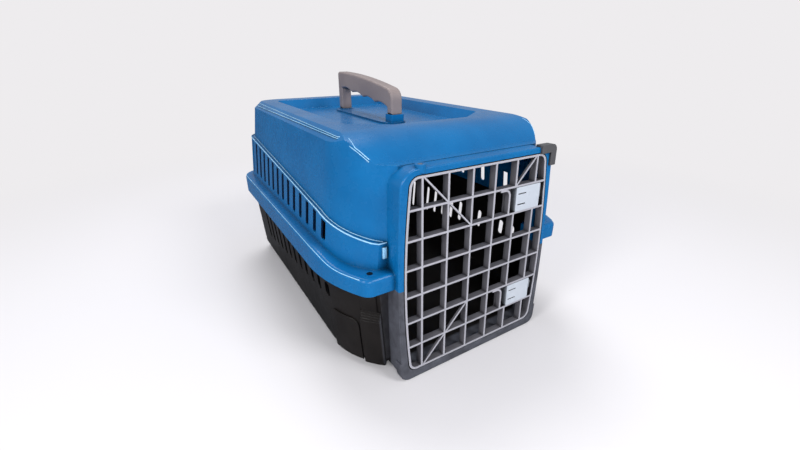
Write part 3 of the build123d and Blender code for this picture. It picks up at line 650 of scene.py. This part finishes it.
def brow_height(y):
    """Height of the curved brow, an arc that leaves the flat roof level at the crown."""
    run, fall = CROWN - BROW_BACK, ROOF_HEIGHT - BROW_HEIGHT
    radius = (run * run + fall * fall) / (2 * fall)
    return ROOF_HEIGHT - radius + math.sqrt(radius * radius - (CROWN - y) ** 2)


def brow_edge(y, drop, highest):
    """Point on the wall just under the brow's side edge, and not above highest, on the -X side."""
    height = min(brow_height(y) - drop, highest)
    foot = wall_point(HOOD_WALL, y, min(height, EAVE.z))
    over = max(0.0, height - EAVE.z) * (EAVE.x - ROOF_EDGE.x) / (ROOF_EDGE.z - EAVE.z)
    return Vector((foot.x + over, y, height))


for label, drop in (("upper", 0.0004), ("lower", 0.0034)):
    start = rib_starts[label]
    path = [start] + [brow_edge(y, drop, start.z) for y in spaced(BEAD_START, BEAD_END, 19)]
    bead_pair("brow_bead_" + label, path, FINE_BEAD)

# %% [markdown]
# ## Bead along the flange
# The flange's upper edge is rounded, and where its flat top turns down a hair-fine bead runs all
# the way round, from the front corner along the side to the middle of the back.

# %% Flange bead
FLANGE_HALF, FLANGE_NOSE_HALF = 0.209, 0.174
FLANGE_FRONT, FLANGE_BACK, FLANGE_CORNER = FRONT + 0.015, FRONT + LENGTH, 0.045
FLANGE_TOP, FLANGE_DIP = 0.185, 0.011
LOW_END = FRONT + 0.050
BEAD_INSET = 0.012
EDGE_RADIUS = 0.006
EDGE_DROP = EDGE_RADIUS * (1.0 - math.sin(math.radians(45)))
HALVINGS = 24


def flange_height(y):
    """Height of the flange's flat top, which dips towards the front in a smooth S."""
    share = min(1.0, max(0.0, (y - LOW_END) / (SHOULDER - LOW_END)))
    low, high = 0.0, 1.0
    for _ in range(HALVINGS):
        t = (low + high) / 2
        along = 1.5 * t * (1 - t) + t ** 3
        low, high = (t, high) if along < share else (low, t)
    return FLANGE_TOP - FLANGE_DIP * (1.0 - (3 * t * t - 2 * t ** 3))


def flange_path():
    """Points half way round the flange's rounded upper edge, on the -X side."""
    centre, radius = nose_circle(FLANGE_HALF, FLANGE_NOSE_HALF, FLANGE_FRONT)
    corner_start = FLANGE_BACK - FLANGE_CORNER
    path = []
    for y in spaced(FLANGE_FRONT + BEAD_INSET, SHOULDER, 23):
        x = centre + math.sqrt(radius * radius - (SHOULDER - y) ** 2)
        path.append(Vector((EDGE_DROP - x, y, flange_height(y) - EDGE_DROP)))
    for y in spaced(SHOULDER, corner_start, 7, 1):
        path.append(Vector((EDGE_DROP - FLANGE_HALF, y, FLANGE_TOP - EDGE_DROP)))
    for angle in spaced(0.0, QUARTER, 9, 1):
        x = FLANGE_HALF - FLANGE_CORNER + (FLANGE_CORNER - EDGE_DROP) * math.cos(angle)
        y = corner_start + (FLANGE_CORNER - EDGE_DROP) * math.sin(angle)
        path.append(Vector((-x, y, FLANGE_TOP - EDGE_DROP)))
    path.append(Vector((0.0, FLANGE_BACK - EDGE_DROP, FLANGE_TOP - EDGE_DROP)))
    return path


bead_pair("flange_bead", flange_path(), FINE_BEAD)

# %% [markdown]
# ## Small pad beside the frame
# Where the band meets the front frame a small upright pad stands on the band's front face, and
# its crowned face catches a bright spot of light. It is a cube with its face inset and raised,
# and all its outer edges rounded.

# %% Corner pads
pad = box((0.0064, 0.0040, 0.0160), (-0.1400, NOSE - 0.0004, 0.1968))
edit_parts(pad, "FACE", lambda face: face.normal.y < -0.9)
bpy.ops.mesh.inset(thickness=0.0012)
bpy.ops.transform.translate(value=(0.0, -0.0006, 0.0))
bpy.ops.object.mode_set(mode="OBJECT")
round_edges(pad, 0.0007, 3)
# The pad's pale blue is a painted highlight for its bright spot.
keep_pair(pad, "corner_pad", painted_highlight_blue_polypropylene)

# %% [markdown]
# ## Relief on the tub's front corners
# The tub's curved front corners are stiffened with moulded relief: a tall rounded column next
# to the frame, a stack of small steps and a block over it, and a shallow panel with a rounded
# top beside it. Each one is a flat section carried round the same axis as the wall's curve in
# rings that lean outward with the wall, and joined ring to ring.


# %% Swept relief
JOIN = -0.226
COLUMN_END = NOSE + 0.001
ROOT = -0.002
FOOT_TOP, COLUMN_TOP, PANEL_TOP = 0.030, 0.090, 0.086
CORNER_TURN = 50.0


def swept_relief(section, start_y, end_y, steps, end_strip=0.0):
    """Section of (height above the wall, height above the ground) swept round the nose curve.

    The rings are evenly spaced, but for a strip at each end that is left in one piece.
    """
    half, nose_half, bottom, slope = TUB_WALL
    centre, radius = nose_circle(half, nose_half)
    start, end = (math.asin((SHOULDER - y) / radius) for y in (start_y, end_y))
    angles = spaced(start, end, steps)
    if end_strip:
        strip = end_strip / radius
        angles = [start] + spaced(start + strip, end - strip, steps) + [end]
    points = []
    for angle in angles:
        for proud, height in section:
            x = -centre - (radius + proud) * math.cos(angle) - slope * (height - bottom)
            points.append((x, SHOULDER - (radius + proud) * math.sin(angle), height))
    count, last = len(section), len(points) - len(section)
    faces = [list(range(count)), list(range(last, last + count))]
    for ring in range(0, last, count):
        for k in range(count):
            after = (k + 1) % count
            faces.append([ring + k, ring + after, ring + count + after, ring + count + k])
    mesh = bpy.data.meshes.new("relief")
    mesh.from_pydata(points, [], faces)
    piece = bpy.data.objects.new("relief", mesh)
    bpy.context.scene.collection.objects.link(piece)
    edit(piece)
    close_welded()
    return piece


def relief_pair(piece, name, width, segments):
    """Round a relief's edges and keep it on both sides in the tub's black."""
    round_edges(piece, width, segments, CORNER_TURN)
    keep_pair(piece, name, black_polypropylene)


print("relief joins at", JOIN)

# %% Corner column
column = swept_relief([(-0.008, 0.009), (0.0026, 0.009), (0.0034, FOOT_TOP), (0.0034, COLUMN_TOP),
                       (ROOT, COLUMN_TOP), (ROOT, FOOT_TOP), (-0.004, 0.017)],
                      JOIN, COLUMN_END, 10)
relief_pair(column, "corner_column", 0.0022, 4)

# %% Corner steps
STEPS_BOTTOM, STEP_RISE, STEP_COUNT = 0.0895, 0.004, 4
LOWEST_PROUD, STEP_BACK = 0.0036, 0.0008
section = [(ROOT, STEPS_BOTTOM)]
for step in range(STEP_COUNT):
    proud = LOWEST_PROUD - STEP_BACK * step
    section.append((proud, STEPS_BOTTOM + STEP_RISE * step))
    section.append((proud, STEPS_BOTTOM + STEP_RISE * (step + 1)))
section.append((ROOT, section[-1][1]))
stack = swept_relief(section, JOIN - 0.002, COLUMN_END, 10)
relief_pair(stack, "corner_steps", 0.0004, 2)

# %% Corner block
BLOCK_BOTTOM, BLOCK_TOP, BLOCK_PROUD = 0.106, 0.152, 0.0026
block = swept_relief([(ROOT, BLOCK_BOTTOM), (BLOCK_PROUD, BLOCK_BOTTOM), (BLOCK_PROUD, BLOCK_TOP),
                      (ROOT, BLOCK_TOP)], JOIN - 0.004, NOSE + 0.004, 8)
relief_pair(block, "corner_block", 0.0012, 3)

# %% Side panel with a rounded top
PANEL_CORNER, END_STRIP = 0.012, 0.013
panel = swept_relief([(-0.007, 0.011), (0.0012, 0.012), (0.0018, FOOT_TOP), (0.0022, PANEL_TOP),
                      (ROOT, PANEL_TOP), (ROOT, FOOT_TOP), (-0.004, 0.018)],
                     SHOULDER - 0.020, JOIN + 0.002, 6, END_STRIP)
panel_ys = [vertex.co.y for vertex in panel.data.vertices]
panel_ends = (min(panel_ys), max(panel_ys))


def upper_corner(edge):
    """Whether an edge runs through the panel's thickness at one of its two upper corners."""
    a, b = (panel.data.vertices[i].co for i in edge.vertices)
    through = abs(a.z - b.z) < 0.0001 and 0.0035 < (a - b).length < 0.0060
    at_end = min(abs(a.y - end) for end in panel_ends) < 0.003
    return through and at_end and a.z > PANEL_TOP / 2


edit_parts(panel, "EDGE", upper_corner)
bpy.ops.mesh.bevel(offset=PANEL_CORNER, segments=6)
bpy.ops.object.mode_set(mode="OBJECT")
relief_pair(panel, "side_panel", 0.0010, 3)

# %% [markdown]
# ## Lug on the brow
# A small raised lug stands on the sloping brow over the door, towards the right. It is a cube
# with its top pushed in and all its edges rounded.

# %% Brow lug
lug = box((0.012, 0.007, 0.006), (0.088, -0.168, 0.3315), (math.radians(12), 0.0, 0.0))
edit_parts(lug, "FACE", lambda face: face.normal.z > 0.9)
bpy.ops.mesh.inset(thickness=0.0015)
bpy.ops.transform.translate(value=(0.0, 0.0, -0.0008))
bpy.ops.object.mode_set(mode="OBJECT")
round_edges(lug, 0.0008, 3)
# The lug's pale blue is a painted highlight for the bright mark on it.
keep(lug, "brow_lug", "carrier", painted_highlight_blue_polypropylene)

# %% [markdown]
# ## Floor and light
# A wide pale floor runs out behind the carrier, and the world gives the same pale tone to the
# camera, so the horizon doesn't show. Reflections see a darker floor, so that the walls aren't
# washed out at a flat angle. Four soft lamps light the carrier: one high in front, one from the
# left, one high behind that draws the edges, and a weak one close in front.

# %% Floor
FLOOR_SIZE, FLOOR_DROP = 30.0, 0.0002
FADE_FROM, FADE_TO = 0.45, 1.5
clear_selection()
bpy.ops.mesh.primitive_grid_add(x_subdivisions=2, y_subdivisions=2, size=FLOOR_SIZE,
                                location=(0.0, 0.0, -FLOOR_DROP))
floor = bpy.context.active_object
floor.name = "floor"
floor_material = bpy.data.materials.new("pale_studio_floor")
floor_material.use_nodes = True
floor_tree = floor_material.node_tree
floor_tree.nodes.clear()
floor_place = add_node(floor_tree, "TexCoord").outputs["Object"]
floor_grain = add_node(floor_tree, "TexNoise", inputs={
    "Vector": floor_place, "Scale": per_mm(2), "Detail": 2.0})
floor_bump = add_node(floor_tree, "Bump", inputs={
    "Height": floor_grain.outputs["Fac"], "Strength": 0.1, "Distance": 0.0001})
floor_rays = add_node(floor_tree, "LightPath").outputs
floor_colour = add_node(floor_tree, "Mix", {"data_type": "RGBA"}, {
    "Factor": floor_rays["Is Glossy Ray"], "A": hex_colour("#E6E4E7"), "B": hex_colour("#6C6E74")})
floor_shader = add_node(floor_tree, "BsdfPrincipled", inputs={
    "Base Color": floor_colour.outputs[2], "Roughness": 0.9, "Specular IOR Level": 0.1,
    "Normal": floor_bump.outputs["Normal"]})
away = add_node(floor_tree, "VectorMath", {"operation": "LENGTH"}, {0: floor_place})
far = add_node(floor_tree, "MapRange", {"interpolation_type": "SMOOTHSTEP"}, {
    "Value": away.outputs["Value"], "From Min": FADE_FROM, "From Max": FADE_TO})
far_seen = add_node(floor_tree, "Math", {"operation": "MULTIPLY"}, {
    0: far.outputs["Result"], 1: floor_rays["Is Camera Ray"]})
pale = add_node(floor_tree, "Emission", inputs={"Color": hex_colour("#EEECEE"), "Strength": 1.0})
floor_mix = add_node(floor_tree, "MixShader", inputs={
    0: far_seen.outputs["Value"], 1: floor_shader.outputs["BSDF"], 2: pale.outputs["Emission"]})
add_node(floor_tree, "OutputMaterial", inputs={"Surface": floor_mix.outputs["Shader"]})
floor.data.materials.append(floor_material)
print("floor", FLOOR_SIZE, "m wide")

# %% World
world = bpy.data.worlds.new("studio")
bpy.context.scene.world = world
world.use_nodes = True
world.node_tree.nodes.clear()
rays = add_node(world.node_tree, "LightPath").outputs
seen = add_node(world.node_tree, "Math", {"operation": "MAXIMUM"}, {
    0: rays["Is Camera Ray"], 1: rays["Is Transmission Ray"]})
backdrop = add_node(world.node_tree, "Background", inputs={
    "Color": hex_colour("#EEECEE"), "Strength": 1.0})
fill = add_node(world.node_tree, "Background", inputs={
    "Color": hex_colour("#F4F6FA"), "Strength": 0.45})
sky = add_node(world.node_tree, "MixShader", inputs={
    0: seen.outputs["Value"], 1: fill.outputs["Background"], 2: backdrop.outputs["Background"]})
add_node(world.node_tree, "OutputWorld", inputs={"Surface": sky.outputs["Shader"]})
print("world", world.name)

# %% Lamps
lamps = {
    "front_key": ((0.9, -2.2, 2.2), 1.2, 35.0),
    "left_fill": ((-2.4, -0.8, 1.5), 0.9, 28.0),
    "top_back": ((0.2, 1.2, 2.6), 1.4, 34.0),
    "near_front": ((-0.5, -1.3, 0.7), 0.5, 6.0),
}
target = Vector((0.0, 0.0, 0.18))
for lamp_name, (place, size, power) in lamps.items():
    lamp_data = bpy.data.lights.new(lamp_name, "AREA")
    lamp_data.shape = "DISK"
    lamp_data.size = size
    lamp_data.energy = power
    lamp = bpy.data.objects.new(lamp_name, lamp_data)
    bpy.context.scene.collection.objects.link(lamp)
    lamp.location = place
    lamp.rotation_euler = (target - Vector(place)).to_track_quat("-Z", "Y").to_euler()
bpy.context.scene.view_settings.view_transform = "Standard"
print("lamps", sorted(lamps))
